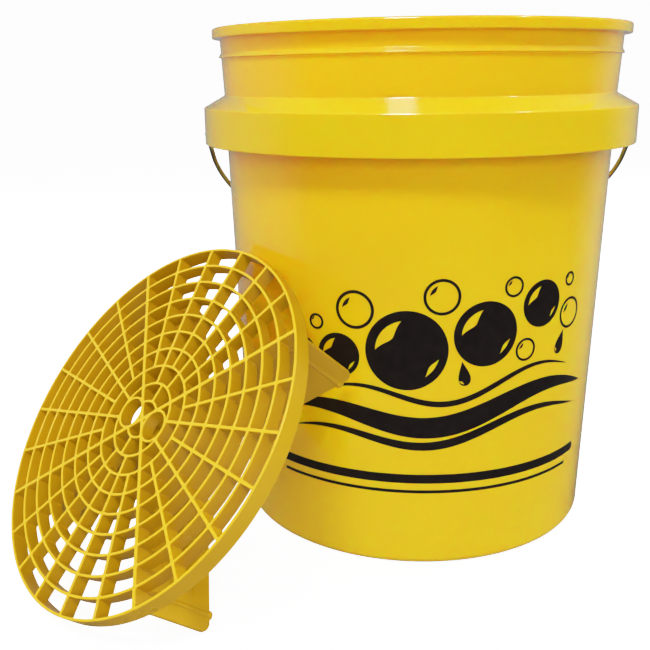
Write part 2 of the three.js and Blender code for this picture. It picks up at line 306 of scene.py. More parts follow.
def steel_wire():
    mat, nodes, links, shader = material("bail_steel", Metallic=1.0)
    streaks = noise(nodes, links, 900, 3, (0.06, 1, 1))
    tarnish = noise(nodes, links, 60, 4)
    links.new(
        blend_colours(nodes, links, spread(nodes, links, tarnish, 0.35, 0.7, 0, 1),
                      (0.50, 0.47, 0.38), (0.24, 0.22, 0.16)),
        shader.inputs["Base Color"],
    )
    links.new(spread(nodes, links, streaks, 0.3, 0.7, 0.26, 0.44), shader.inputs["Roughness"])
    bump(nodes, links, shader, streaks, 0.6, 0.00004)
    return mat


def grip_plastic():
    mat, nodes, links, shader = material("grip_plastic", Specular_IOR_Level=0.4)
    pebble = nodes.new("ShaderNodeTexVoronoi")
    pebble.inputs["Scale"].default_value = 1100
    coordinates = nodes.new("ShaderNodeTexCoord")
    links.new(coordinates.outputs["Object"], pebble.inputs["Vector"])
    dust = noise(nodes, links, 45, 5)
    links.new(
        blend_colours(nodes, links, spread(nodes, links, dust, 0.4, 0.75, 0, 1),
                      (0.013, 0.013, 0.014), (0.028, 0.027, 0.026)),
        shader.inputs["Base Color"],
    )
    links.new(spread(nodes, links, dust, 0.3, 0.7, 0.42, 0.58), shader.inputs["Roughness"])
    bump(nodes, links, shader, pebble.outputs["Distance"], 0.7, 0.00012)
    return mat


def print_ink():
    mat, nodes, links, shader = material("print_ink", Specular_IOR_Level=0.25)
    mottle = noise(nodes, links, 160, 4)
    links.new(
        blend_colours(nodes, links, spread(nodes, links, mottle, 0.3, 0.7, 0, 1),
                      (0.006, 0.004, 0.004), (0.010, 0.007, 0.006)),
        shader.inputs["Base Color"],
    )
    links.new(spread(nodes, links, mottle, 0.3, 0.7, 0.30, 0.40), shader.inputs["Roughness"])
    bump(nodes, links, shader, noise(nodes, links, 2200, 2), 0.5, 0.00001)
    return mat


PAIL = moulded_plastic("pail_plastic", (0.835, 0.54, 0.006), (0.815, 0.51, 0.005), rough=(0.08, 0.13),
                       grain=(520, 0.000004), specular=0.5, gloss=(1.0, 0.005))
# The guard's body colours are darkened to paint shade into its cell walls and vanes; its top face gets a
# paler painted light.
GUARD = moulded_plastic("guard_plastic", (0.55, 0.315, 0.004), (0.51, 0.285, 0.003), rough=(0.26, 0.38),
                        grain=(900, 0.00002), specular=0.4,
                        painted_top_light=((0.79, 0.465, 0.009), GUARD_CENTRE, GUARD_NORMAL))
STEEL = steel_wire()
GRIP = grip_plastic()
INK = print_ink()


# ---------------------------------------------------------------- mesh tools


def add(name, points, faces, normals, mat):
    """A smooth mesh piece from points in millimetres, with the normals it was drawn with."""
    mesh = bpy.data.meshes.new(name)
    mesh.from_pydata([tuple(MM * c for c in p) for p in points], [], faces)
    mesh.polygons.foreach_set("use_smooth", [True] * len(mesh.polygons))
    mesh.materials.append(mat)
    mesh.normals_split_custom_set_from_vertices([tuple(n) for n in normals])
    mesh.update()
    piece = bpy.data.objects.new(name, mesh)
    bpy.context.scene.collection.objects.link(piece)
    return piece


class Shape:
    """Points, faces and normals that grow part by part and become one piece."""

    def __init__(self):
        self.points, self.normals, self.faces = [], [], []

    def take(self, points, normals, faces, place=None):
        start = len(self.points)
        if place is None:
            self.points += [Vector(p) for p in points]
            self.normals += [Vector(n) for n in normals]
        else:
            turn = place.to_3x3()
            self.points += [place @ Vector(p) for p in points]
            self.normals += [turn @ Vector(n) for n in normals]
        self.faces += [tuple(start + i for i in f) for f in faces]

    def finish(self, name, mat):
        return add(name, self.points, self.faces, self.normals, mat)


def unit(x, y):
    length = math.hypot(x, y)
    return x / length, y / length


def rounded(corners, steps=5, closed=False):
    """A line with rounded corners, as (x, y, normal x, normal y). The normal is to the right of the
    way it runs. A corner is (x, y, radius); the ends of an open line have no radius."""
    count = len(corners)
    out = []

    def side(i):
        (x0, y0, _), (x1, y1, _) = corners[i % count], corners[(i + 1) % count]
        return unit(x1 - x0, y1 - y0), math.hypot(x1 - x0, y1 - y0)

    for i, (x, y, radius) in enumerate(corners):
        if not closed and i in (0, count - 1):
            (dx, dy), _ = side(0 if i == 0 else count - 2)
            out.append((x, y, dy, -dx))
            continue
        (ax, ay), length_in = side(i - 1 if i else count - 1)
        (bx, by), length_out = side(i)
        turn = math.atan2(ax * by - ay * bx, ax * bx + ay * by)
        reach = min(radius * abs(math.tan(turn / 2)), 0.49 * length_in, 0.49 * length_out)
        true_radius = reach / max(abs(math.tan(turn / 2)), 1e-9)
        sign = 1 if turn > 0 else -1
        centre_x = x - ax * reach - sign * ay * true_radius
        centre_y = y - ay * reach + sign * ax * true_radius
        for k in range(steps + 1):
            angle = turn * k / steps
            nx = ay * math.cos(angle) + ax * math.sin(angle)
            ny = -ax * math.cos(angle) + ay * math.sin(angle)
            out.append((centre_x + sign * true_radius * nx, centre_y + sign * true_radius * ny, nx, ny))
    return out


def turned(profile, segments, closed=False):
    """Turns (r, z, normal r, normal z) about Z. An open profile starts and ends on the axis."""
    points, normals, faces, rows = [], [], [], []
    for r, z, nr, nz in profile:
        if r < ON_AXIS:
            rows.append([len(points)] * segments)
            points.append((0, 0, z))
            normals.append((0, 0, math.copysign(1, nz)))
            continue
        rows.append([len(points) + j for j in range(segments)])
        for j in range(segments):
            c, s = math.cos(2 * math.pi * j / segments), math.sin(2 * math.pi * j / segments)
            points.append((r * c, r * s, z))
            normals.append((nr * c, nr * s, nz))
    pairs = list(zip(rows, rows[1:]))
    if closed:
        pairs.append((rows[-1], rows[0]))
    for low, high in pairs:
        for j in range(segments):
            k = (j + 1) % segments
            corners = (low[j], low[k], high[k], high[j])
            face = tuple(dict.fromkeys(corners))
            if len(face) > 2:
                faces.append(face)
    return points, normals, faces


def circle(x, y, radius, count, start=0.0, sweep=360.0):
    """Points round a circle, or along an arc with both its ends when sweep is less than 360."""
    whole = abs(sweep) >= 360
    last = count if whole else count - 1
    return [
        (x + radius * math.cos(math.radians(start + sweep * i / last)),
         y + radius * math.sin(math.radians(start + sweep * i / last)))
        for i in range(count)
    ]


def ring_of(points):
    """A smooth closed loop as (x, y, normal x, normal y), with the normal to the right."""
    count = len(points)
    out = []
    for i, (x, y) in enumerate(points):
        (x0, y0), (x1, y1) = points[i - 1], points[(i + 1) % count]
        dx, dy = unit(x1 - x0, y1 - y0)
        out.append((x, y, dy, -dx))
    return out


def loop_of(runs, radius):
    """Joins runs of points into one closed loop and rounds the corners between them."""
    trimmed = []
    for run in runs:
        run = [Vector(p) for p in run]
        for _ in range(2):
            left = radius
            while left > 0 and len(run) > 1:
                step = (run[1] - run[0]).length
                if step > left:
                    run[0] = run[0].lerp(run[1], left / step)
                    break
                left -= step
                run.pop(0)
            run.reverse()
        trimmed.append(run)
    out = []
    for k, run in enumerate(trimmed):
        for i, p in enumerate(run):
            before, after = run[max(i - 1, 0)], run[min(i + 1, len(run) - 1)]
            d = (after - before).normalized()
            out.append((p.x, p.y, d.y, -d.x))
        corner = Vector(runs[k][-1])
        a, c = run[-1], trimmed[(k + 1) % len(runs)][0]
        for t in (0.25, 0.5, 0.75):
            p = a.lerp(corner, t).lerp(corner.lerp(c, t), t)
            d = (a.lerp(corner, t) - corner.lerp(c, t)).normalized() * -1
            out.append((p.x, p.y, d.y, -d.x))
    return out


def inside(points, loops):
    """Which points lie inside an odd number of the loops."""
    odd = np.zeros(len(points), bool)
    px, py = points[:, 0], points[:, 1]
    for loop in loops:
        ends = np.array([p[:2] for p in loop])
        for (x0, y0), (x1, y1) in zip(ends, np.roll(ends, -1, 0)):
            if y0 == y1:
                continue
            crosses = ((y0 > py) != (y1 > py)) & (px < x0 + (py - y0) * (x1 - x0) / (y1 - y0))
            odd ^= crosses
    return odd


def filled(loops, extra=()):
    """Triangles, all counter-clockwise, between an outer loop and the holes inside it."""
    flat = [Vector(p[:2]) for loop in loops for p in loop] + [Vector(p) for p in extra]
    edges, start = [], 0
    for loop in loops:
        count = len(loop)
        edges += [(start + i, start + (i + 1) % count) for i in range(count)]
        start += count
    _, _, faces, origins, _, _ = delaunay_2d_cdt(flat, edges, [], 1, 1e-7)
    triangles = np.array([[origins[i][0] for i in face] for face in faces])
    corners = np.array(flat)[triangles]
    triangles = triangles[inside(corners.mean(1), loops)]
    out = []
    for a, b, c in triangles.tolist():
        area = (flat[b] - flat[a]).cross(flat[c] - flat[a])
        if abs(area) > 1e-9:
            out.append((a, b, c) if area > 0 else (a, c, b))
    return out


def relief(loops, top, bottom, fillet, draft=0.0, steps=3):
    """A solid between two levels. The first loop runs counter-clockwise round the outside and the
    others clockwise round holes, so every normal points away from the solid. Its edges are rounded
    and its walls lean in by draft towards the bottom."""
    rows = []  # (level, inset, cos, sin) from the top face down to the bottom face
    for centre, lean, first in ((top - fillet, 0, 90), (bottom + fillet, draft, 0)):
        for k in range(steps + 1):
            a = math.radians(first - 90 * k / steps)
            rows.append((centre + fillet * math.sin(a), lean + fillet * (1 - math.cos(a)),
                         math.cos(a), math.sin(a)))
    points, normals, faces = [], [], []
    per_row = sum(len(loop) for loop in loops)
    for level, inset, c, s in rows:
        for loop in loops:
            for x, y, nx, ny in loop:
                points.append((x - nx * inset, y - ny * inset, level))
                normals.append((nx * c, ny * c, s))
    for row in range(len(rows) - 1):
        start = row * per_row
        for loop in loops:
            count = len(loop)
            for i in range(count):
                a, b = start + i, start + (i + 1) % count
                faces.append((a, a + per_row, b + per_row, b))
            start += count
    inset_loops, start = [], 0
    for loop in loops:
        inset_loops.append([p[:2] for p in points[start:start + len(loop)]])
        start += len(loop)
    triangles = filled(inset_loops)
    last = (len(rows) - 1) * per_row
    faces += triangles
    faces += [(a + last, c + last, b + last) for a, b, c in triangles]
    return points, normals, faces


def tube(path, radius, sides, up):
    """A round wire along a flat path, with domed ends. up is the normal of the path's plane."""
    points, normals, faces = [], [], []
    path = [Vector(p) for p in path]
    up = Vector(up)
    count = len(path)
    rings = []
    for i, p in enumerate(path):
        ahead = (path[min(i + 1, count - 1)] - path[max(i - 1, 0)]).normalized()
        rings.append((p, ahead, radius, 0))
    (start, start_way, _, _), (end, end_way, _, _) = rings[0], rings[-1]
    for share in DOME_SHARES:
        out, size = DOME_LENGTH * (1 - share), radius * (DOME_TIP + (1 - DOME_TIP) * share)
        rings.insert(0, (start - start_way * out, start_way, size, -1))
        rings.append((end + end_way * out, end_way, size, 1))
    for p, ahead, size, lean in rings:
        across = up.cross(ahead).normalized()
        for k in range(sides):
            a = 2 * math.pi * k / sides
            n = across * math.cos(a) + up * math.sin(a)
            points.append(p + n * size)
            normals.append((n + ahead * lean).normalized())
    for row in range(len(rings) - 1):
        for k in range(sides):
            a, b = row * sides + k, row * sides + (k + 1) % sides
            faces.append((a, b, b + sides, a + sides))
    faces.append(tuple(reversed(range(sides))))
    faces.append(tuple((len(rings) - 1) * sides + k for k in range(sides)))
    return points, normals, faces


# ---------------------------------------------------------------- pail


def neck_radius(z):
    return NECK_RADIUS + (z - NECK_BOTTOM) * NECK_FLARE


def wall_radius(z):
    return BASE_RADIUS + (WALL_RADIUS - BASE_RADIUS) * z / SKIRT_BOTTOM


def pail_profile():
    """The pail's half section, from the middle of its base out, up and back in to its floor, and the
    pairs of rows below and above the wire's holes."""
    bead = HEIGHT - RIM_DEPTH
    ridge = neck_radius(RIDGE_HEIGHT) + RIDGE_REACH
    channel = wall_radius(CHANNEL_TOP)
    inner_neck = NECK_BOTTOM - 1
    corners = [
        (0, 0, 0),
        (BASE_PAD_RADIUS, 0, 0.5),
        (BASE_PAD_RADIUS + 1, BASE_RECESS, 0.5),
        (FOOT_RING_INNER - 1, BASE_RECESS, 0.6),
        (FOOT_RING_INNER, 0, 0.5),
        (BASE_RADIUS, 0, 6),
        (channel, CHANNEL_TOP, 1.2),
        (channel + CHANNEL_REACH, CHANNEL_TOP + CHANNEL_RISE, 2.2),
        (SKIRT_RADIUS - WALL, SKIRT_TOP - 2.4, 2),
        (SKIRT_RADIUS - WALL, SKIRT_BOTTOM, 0.7),
        (SKIRT_RADIUS, SKIRT_BOTTOM, 0.9),
        (SKIRT_RADIUS, SKIRT_TOP, 1.3),
        (NECK_RADIUS, NECK_BOTTOM, 1.2),
        (neck_radius(RIDGE_HEIGHT - RIDGE_FOOT), RIDGE_HEIGHT - RIDGE_FOOT, 0.4),
        (ridge, RIDGE_HEIGHT - 1, 0.3),
        (ridge, RIDGE_HEIGHT - 0.2, 0.4),
        (neck_radius(RIDGE_HEIGHT + 2), RIDGE_HEIGHT + RIDGE_RUN_OUT, 0.5),
        (neck_radius(bead), bead, 0.5),
        (RIM_RADIUS, bead, 0.8),
        (RIM_RADIUS, HEIGHT, 1.7),
        (neck_radius(HEIGHT) - WALL, HEIGHT, 1),
        (neck_radius(inner_neck) - WALL, inner_neck, 6),
        (WALL_RADIUS - WALL, SKIRT_BOTTOM, 8),
        (BASE_RADIUS - WALL, FLOOR_TOP, 5),
        (0, FLOOR_TOP, 0),
    ]
    line = rounded(corners, 6)
    rows, marked = [], []
    for a, b in zip(line, line[1:]):
        rows.append(a)
        if a[0] > RIM_RADIUS and min(a[1], b[1]) < PIVOT_HEIGHT < max(a[1], b[1]):
            levels = [PIVOT_HEIGHT - HOLE_ROOM, PIVOT_HEIGHT + HOLE_ROOM]
            marked.append((len(rows), len(rows) + 1))
            rows += [(a[0], z, a[2], a[3]) for z in (levels if b[1] > a[1] else reversed(levels))]
    rows.append(line[-1])
    return rows, marked


def pierced_pail():
    """The pail, with a hole through the skirt at each end of the hinge axis."""
    profile, strips = pail_profile()  # the strips are on the skirt's inner face, then its outer face
    points, normals, faces = turned(profile, PAIL_SEGMENTS)
    sizes = [1 if r < ON_AXIS else PAIL_SEGMENTS for r, _, _, _ in profile]
    index = [sum(sizes[:row]) for row in range(len(sizes))]
    gone, new_faces = set(), []
    steps_round = [(k, (k + 1) % HOLE_SEGMENTS) for k in range(HOLE_SEGMENTS)]
    for side in (0, PAIL_SEGMENTS // 2):
        columns = [(side + k) % PAIL_SEGMENTS for k in (-1, 0, 1)]
        rims = []
        for a, b in strips:
            r, outward = profile[a][0], math.copysign(1, profile[a][2])
            low, high = (a, b) if profile[a][1] < profile[b][1] else (b, a)
            border = [index[low] + c for c in columns] + [index[high] + c for c in reversed(columns)]
            gone.update(
                frozenset((index[a] + columns[k], index[a] + columns[k + 1],
                           index[b] + columns[k], index[b] + columns[k + 1]))
                for k in (0, 1)
            )
            middle = 2 * math.pi * side / PAIL_SEGMENTS
            flat = []
            for i in border:
                x, y, z = points[i]
                turn = (math.atan2(y, x) - middle + math.pi) % (2 * math.pi) - math.pi
                flat.append((r * turn, z))
            hole = circle(0, PIVOT_HEIGHT, PIVOT_HOLE_RADIUS + HOLE_LIP, HOLE_SEGMENTS)
            lip = circle(0, PIVOT_HEIGHT, PIVOT_HOLE_RADIUS, HOLE_SEGMENTS)
            start = len(points)
            for ring, depth in ((hole, 0), (lip, HOLE_LIP)):
                for u, z in ring:
                    angle, radius = middle + u / r, r - outward * depth
                    radial = Vector((math.cos(angle), math.sin(angle), 0))
                    into = Vector((math.sin(middle) * u, -math.cos(middle) * u, PIVOT_HEIGHT - z))
                    points.append((radius * radial.x, radius * radial.y, z))
                    normals.append(tuple(into.normalized() if depth else radial * outward))
            ids = border + list(range(start, start + HOLE_SEGMENTS))
            for face in filled([flat, hole]):
                face = tuple(ids[i] for i in face)
                new_faces.append(face if outward > 0 else face[::-1])
            for k, m in steps_round:
                p, q = start + k, start + m
                quad = (p, q, q + HOLE_SEGMENTS, p + HOLE_SEGMENTS)
                new_faces.append(quad if outward > 0 else quad[::-1])
            rims.append(start + HOLE_SEGMENTS)
        inner, outer = rims
        new_faces += [(outer + k, outer + m, inner + m, inner + k) for k, m in steps_round]
    faces = [f for f in faces if frozenset(f) not in gone] + new_faces
    shape = Shape()
    shape.take(points, normals, faces)
    return shape


pail = pierced_pail().finish("pail", PAIL)
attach(pail, "bucket")
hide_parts("bucket_shell")


def ear(name, node, side):
    """The bored block behind the skirt, joined to the wall behind it."""
    half = EAR_HALF_WIDTH
    outline = rounded([(-half, EAR_BOTTOM, 0.8), (half, EAR_BOTTOM, 0.8), (half, EAR_TOP, 4),
                       (-half, EAR_TOP, 4)], 6, closed=True)
    bore = ring_of(circle(0, PIVOT_HEIGHT, PIVOT_HOLE_RADIUS, 24)[::-1])
    shape = Shape()
    turn = Matrix(((0, 0, 1, 0), (1, 0, 0, 0), (0, 1, 0, 0), (0, 0, 0, 1)))
    place = Matrix.Rotation(0 if side > 0 else math.pi, 4, "Z") @ turn
    shape.take(*relief([outline, bore], EAR_OUTER, EAR_INNER - EAR_OVERLAP, EAR_EDGE), place)
    piece = shape.finish(name, PAIL)
    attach(piece, "bucket")
    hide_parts(node)


ear("right_ear", "right_bail_ear", 1)
ear("left_ear", "left_bail_ear", -1)


# ---------------------------------------------------------------- bail and grip


BAIL_PLACE = Matrix.Translation((0, 0, PIVOT_HEIGHT)) @ Matrix.Rotation(math.radians(-BAIL_DROOP), 4, "X")


def bezier(points, steps):
    """Points along a Bezier curve."""
    out = []
    for i in range(steps + 1):
        t, level = i / steps, [Vector((*p, 0)) for p in points]
        while len(level) > 1:
            level = [a.lerp(b, t) for a, b in zip(level, level[1:])]
        out.append(level[0])
    return out


def bail_path():
    """The wire's middle line, in its own plane: X along the hinge axis and Y away from it."""
    a = BAIL_HALF_WIDTH
    half = [Vector((HOOK_END, 0, 0)), Vector(((HOOK_END + a) / 2, 0, 0))]
    half += bezier([(a - HOOK_BEND, 0), (a, 0), (a, HOOK_BEND)], 10)
    half += [Vector((a, HOOK_BEND + (BAIL_LEG - HOOK_BEND) * k / 4, 0)) for k in (1, 2, 3)]
    half += bezier([(a, BAIL_LEG), (a, BAIL_LEG + BAIL_LEG_PULL),
                    (BAIL_GRIP_HALF + BAIL_TOP_PULL, BAIL_LENGTH), (BAIL_GRIP_HALF, BAIL_LENGTH)], 64)
    return half + [Vector((-p.x, p.y, 0)) for p in reversed(half)]


wire = Shape()
wire.take(*tube(bail_path(), WIRE_RADIUS, WIRE_SIDES, (0, 0, 1)), BAIL_PLACE)
wire = wire.finish("bail", STEEL)
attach(wire, "bail")
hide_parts("bail_wire")


def grip_shape():
    """The roller, with a collar at each end and shallow finger grooves between."""
    end = GRIP_LENGTH / 2
    collar, shoulder = end - GRIP_END_LENGTH, end - GRIP_END_LENGTH - 2
    first = end - GRIP_GROOVE_MARGIN
    line = [(GRIP_BORE, -end, 0.4), (GRIP_END_RADIUS, -end, 1.6), (GRIP_END_RADIUS, -collar, 0.8),
            (GRIP_RADIUS, -shoulder, 1)]
    for k in range(GRIP_GROOVES):
        middle = -first + 2 * first * k / (GRIP_GROOVES - 1)
        for x, depth in ((-GRIP_GROOVE_OUTER_HALF, 0), (-GRIP_GROOVE_INNER_HALF, GRIP_GROOVE_DEPTH),
                         (GRIP_GROOVE_INNER_HALF, GRIP_GROOVE_DEPTH), (GRIP_GROOVE_OUTER_HALF, 0)):
            line.append((GRIP_RADIUS - depth, middle + x, 0.5))
    line += [(GRIP_RADIUS, shoulder, 1), (GRIP_END_RADIUS, collar, 0.8), (GRIP_END_RADIUS, end, 1.6),
             (GRIP_BORE, end, 0.4)]
    shape = Shape()
    turn = Matrix.Translation((0, BAIL_LENGTH, 0)) @ Matrix.Rotation(math.pi / 2, 4, "Y")
    shape.take(*turned(rounded(line, 4, closed=True), GRIP_SEGMENTS, closed=True), BAIL_PLACE @ turn)
    return shape


grip = grip_shape().finish("grip", GRIP)
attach(grip, "grip")
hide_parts("bail_grip")


# ---------------------------------------------------------------- grit guard


def clockwise(runs, corner=CELL_ROUND):
    """A hole from runs that go round it counter-clockwise."""
    return loop_of([run[::-1] for run in runs[::-1]], corner)


def cell(inner, outer, start, end, start_half, end_half, arc_points):
    """The opening between two rings and two spokes. Angles are in degrees, and the halves are of the
    spokes' widths. Without an inner ring it is a quarter of the middle."""

    def ray(angle, half, radius):
        return angle + math.degrees(math.asin(half / radius))

    out_a, out_b = ray(start, start_half, outer), ray(end, -end_half, outer)
    outer_run = circle(0, 0, outer, arc_points, out_a, out_b - out_a)
    if inner is None:
        corner = Vector((start_half, end_half))
        corner.rotate(Matrix.Rotation(math.radians(start), 2))
        runs = [outer_run, [outer_run[-1], corner], [corner, outer_run[0]]]
    else:
        in_a, in_b = ray(start, start_half, inner), ray(end, -end_half, inner)
        inner_run = circle(0, 0, inner, arc_points, in_b, in_a - in_b)
        runs = [outer_run, [outer_run[-1], inner_run[0]], inner_run, [inner_run[-1], outer_run[0]]]
    return clockwise(runs)


def finger_quarter(angle):
    """The finger hole and the three small openings round it, in the quarter from angle on."""
    reach = FINGER_RING_DISTANCE * math.sqrt(0.5)
    outer = FINGER_RING_RADIUS + RIB_WIDTH / 2
    half = MAIN_RIB_WIDTH / 2
    ring = 2 * RING_STEP - RIB_WIDTH / 2
    near = reach - math.sqrt(outer**2 - (reach - half) ** 2)  # where the finger ring meets the rib
    far = 2 * reach - near
    meet = (FINGER_RING_DISTANCE**2 + ring**2 - outer**2) / (2 * FINGER_RING_DISTANCE)
    low_angle = math.degrees(math.asin(half / ring))
    touch_angle = 45 - math.degrees(math.acos(meet / ring))  # where it meets the second ring

    def bearing(x, y):
        return math.degrees(math.atan2(y - reach, x - reach))

    def arc_between(start, end, count):
        return circle(reach, reach, outer, count, start, end - start)

    touch = [ring * f(math.radians(touch_angle)) for f in (math.cos, math.sin)]
    side = [
        [(far, half), (math.sqrt(ring**2 - half**2), half)],
        circle(0, 0, ring, 6, low_angle, touch_angle - low_angle),
        arc_between(bearing(*touch), bearing(far, half), 8),
    ]
    mirrored = [[(y, x) for x, y in run[::-1]] for run in side[::-1]]
    near_arc = arc_between(bearing(near, half), bearing(half, near), 7)
    middle = [[(half, half), (near, half)], near_arc, [(half, near), (half, half)]]
    turn = Matrix.Rotation(math.radians(angle), 2)
    loops = []
    for runs, corner in ((side, CELL_ROUND), (mirrored, CELL_ROUND), (middle, MIDDLE_CELL_ROUND)):
        loops.append(clockwise([[tuple(turn @ Vector(p)) for p in run] for run in runs], corner))
    centre = turn @ Vector((reach, reach))
    loops.append(ring_of(circle(*centre, FINGER_RING_RADIUS - RIB_WIDTH / 2, 48)[::-1]))
    return loops


def guard_loops():
    """The outline of the ribs and all their openings. Two quarters of the middle have finger holes."""
    main, thin, ring_half = MAIN_RIB_WIDTH / 2, SPOKE_WIDTH / 2, RIB_WIDTH / 2
    outer_half = OUTER_RIB_WIDTH / 2
    loops = [ring_of(circle(0, 0, GUARD_RADIUS + outer_half - RING_OVERLAP, GUARD_SEGMENTS))]
    for ring in range(2, RINGS):
        step, arc_points = (30, 8) if ring == 2 else (15, 4 + ring // 2)
        outer = (ring + 1) * RING_STEP - (ring_half if ring < RINGS - 1 else outer_half - CELL_OVERLAP)
        for start in range(0, 360, step):
            halves = [main if a % 90 == 0 else thin for a in (start, start + step)]
            loops.append(cell(ring * RING_STEP + ring_half, outer, start, start + step, *halves,
                              arc_points))
    for quarter in (0, 180):
        loops.append(cell(None, RING_STEP - ring_half, quarter, quarter + 90, main, main, 14))
        for k in (0, 45):
            halves = (main, thin) if k == 0 else (thin, main)
            loops.append(cell(RING_STEP + ring_half, 2 * RING_STEP - ring_half,
                              quarter + k, quarter + k + 45, *halves, 9))
    for quarter in (90, 270):
        loops += finger_quarter(quarter)
    return loops


def guard_vane(shape, angle):
    """One upright vane under a main rib, with its bead and foot."""
    turn = Matrix.Rotation(math.radians(angle), 4, "Z")
    top = VANE_OVERLAP - RIB_DEPTH
    outline = rounded([(0, -VANE_DEPTH, VANE_EDGE), (VANE_END - VANE_TAPER, -VANE_DEPTH, VANE_ROUND),
                       (VANE_END, top, VANE_EDGE), (0, top, VANE_EDGE)], 8, closed=True)
    stand = Matrix(((1, 0, 0, 0), (0, 0, -1, 0), (0, 1, 0, 0), (0, 0, 0, 1)))
    shape.take(*relief([outline], VANE_WIDTH / 2, -VANE_WIDTH / 2, 0.4), turn @ stand)
    foot, bead_top = -VANE_DEPTH - VANE_FOOT, BEAD_OVERLAP - RIB_DEPTH
    bead = rounded([(0, foot, 0), (VANE_FOOT_RADIUS, foot, 1.2),
                    (VANE_FOOT_RADIUS, -VANE_DEPTH + 0.8, 0.8), (VANE_BEAD_RADIUS, -VANE_DEPTH + 3, 1.5),
                    (VANE_BEAD_RADIUS, bead_top, 0.3), (0, bead_top, 0)], 5)
    shape.take(*turned(bead, 32), turn @ Matrix.Translation((VANE_BEAD_AT, 0, 0)))


def grit_guard():
    """The ribs, the outer ring and four vanes, all leaned against the pail."""
    shape = Shape()
    shape.take(*relief(guard_loops(), 0, -RIB_DEPTH, RIB_EDGE, RIB_DRAFT))
    inner, outer = GUARD_RADIUS - OUTER_RIB_WIDTH / 2, GUARD_RADIUS + OUTER_RIB_WIDTH / 2
    band = rounded([(inner, -OUTER_RIB_DEPTH, 0.4), (outer, -OUTER_RIB_DEPTH, 0.5),
                    (outer, RING_LIFT, 0.7), (inner, RING_LIFT, 0.5)], 4, closed=True)
    shape.take(*turned(band, GUARD_SEGMENTS, closed=True))
    for angle in (0, 90, 180, 270):
        guard_vane(shape, angle)
    shape.points = [GUARD_CENTRE + GUARD_TURN @ p for p in shape.points]
    shape.normals = [GUARD_TURN @ n for n in shape.normals]
    return shape.finish("grit_guard_moulding", GUARD)


guard = grit_guard()
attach(guard, "grit_guard")
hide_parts("guard_grid", "guard_right_vane", "guard_upper_vane", "guard_left_vane",
            "guard_lower_vane")


# ---------------------------------------------------------------- printed emblem


def on_wall(u, z, lift):
    """The place on the pail's wall of a point on the drawing."""
    angle, r = u / INK_RADIUS, wall_radius(z) + lift
    return r * math.sin(angle), -r * math.cos(angle), z


def ink(shape, *loops):
    """Adds one printed area: an outer loop and its holes, as (u, z) along and up the wall."""
    edges = [p for loop in loops for p in loop]
    low, high = np.min(loops[0], 0), np.max(loops[0], 0)
    grid = np.array([(u, z) for u in np.arange(low[0] + 1.5, high[0] - 1, INK_STEP_ALONG)
                     for z in np.arange(low[1] + 1.5, high[1] - 1, INK_STEP_UP)]).reshape(-1, 2)
    if len(grid):
        grid = grid[inside(grid, loops)]
    if len(grid):
        gaps = np.sqrt(((grid[:, None, :] - np.array(edges)) ** 2).sum(2)).min(1)
        grid = grid[gaps > INK_CLEAR]
    middle = [tuple(p) for p in grid]
    triangles = filled(loops, middle)
    flat = edges + middle
    count = len(flat)
    points = [on_wall(u, z, INK_LIFT) for u, z in flat] + [on_wall(u, z, -INK_SINK) for u, z in flat]
    radial = [Vector((math.sin(u / INK_RADIUS), -math.cos(u / INK_RADIUS), 0)) for u, _ in flat]
    normals = radial + [-n for n in radial]
    faces = list(triangles) + [(a + count, c + count, b + count) for a, b, c in triangles]
    start = 0
    for loop in loops:  # the rim of the ink, whichever way the loop runs
        size = len(loop)
        area = sum(a[0] * b[1] - b[0] * a[1] for a, b in zip(loop, loop[1:] + loop[:1]))
        for i in range(size):
            a, b = start + i, start + (i + 1) % size
            wall = (a, a + count, b + count, b)
            faces.append(wall if (area > 0) == (start == 0) else wall[::-1])
        start += size
    shape.take(points, normals, faces)


def crescent(x, y, radius, thickness, start, sweep):
    """A tapering sliver inside a bubble, like light on its skin."""
    outer = circle(x, y, radius, 22, start, sweep)
    inner = []
    for k, (px, py) in enumerate(reversed(outer)):
        share = math.sin(math.pi * k / (len(outer) - 1)) * thickness / radius
        inner.append((px + (x - px) * share, py + (y - py) * share))
    return outer + inner[1:-1]


def bubble(shape, x, y, radius):
    """A soap bubble: a dark disc with two bright slivers, or an open ring with one dark sliver."""
    count = max(32, int(radius * 3))
    edge = circle(x, y, radius, count)
    if radius > SOLID_RADIUS:
        ink(shape, edge, crescent(x, y, radius * 0.76, radius * 0.3, 100, 80),
            crescent(x, y, radius * 0.8, radius * 0.12, -55, 40))
    else:
        ink(shape, edge, circle(x, y, radius - max(1.6, radius * 0.16), count))
        ink(shape, crescent(x, y, radius * 0.66, radius * 0.2, 110, 65))


def drop(shape, x, y, radius, lean):
    """A falling drop with a bright sliver. lean is its tilt in degrees."""
    turn = Matrix.Rotation(math.radians(lean), 2)

    def place(points):
        return [tuple(turn @ Vector(p) + Vector((x, y))) for p in points]

    outline = []
    for k in range(48):
        a = 2 * math.pi * k / 48
        narrow = math.sin(a / 2) ** 1.6
        outline.append((radius * math.sin(a) * -narrow, radius * (0.35 + 1.45 * math.cos(a))))
    glint = crescent(0, -0.25 * radius, radius * 0.66, radius * 0.24, 190, 70)
    ink(shape, place(outline), place(glint))


def swell(left, right, base, rise, height, thickness, phase):
    """A long wave that swells and tapers to a point at each end."""
    top, bottom = [], []
    for t in np.linspace(0, 1, 121).tolist():
        u = left + (right - left) * t
        angle = 2 * math.pi * (SWELL_WAVES * t + phase)
        middle = base + rise * t + height * math.sin(angle)
        half = thickness / 2 * math.sin(math.pi * t) ** 0.7
        slope = (rise + height * 2 * math.pi * SWELL_WAVES * math.cos(angle)) / (right - left)
        nx, ny = unit(-slope, 1)
        top.append((u + nx * half, middle + ny * half))
        bottom.append((u - nx * half, middle - ny * half))
    return bottom + top[::-1][1:-1]


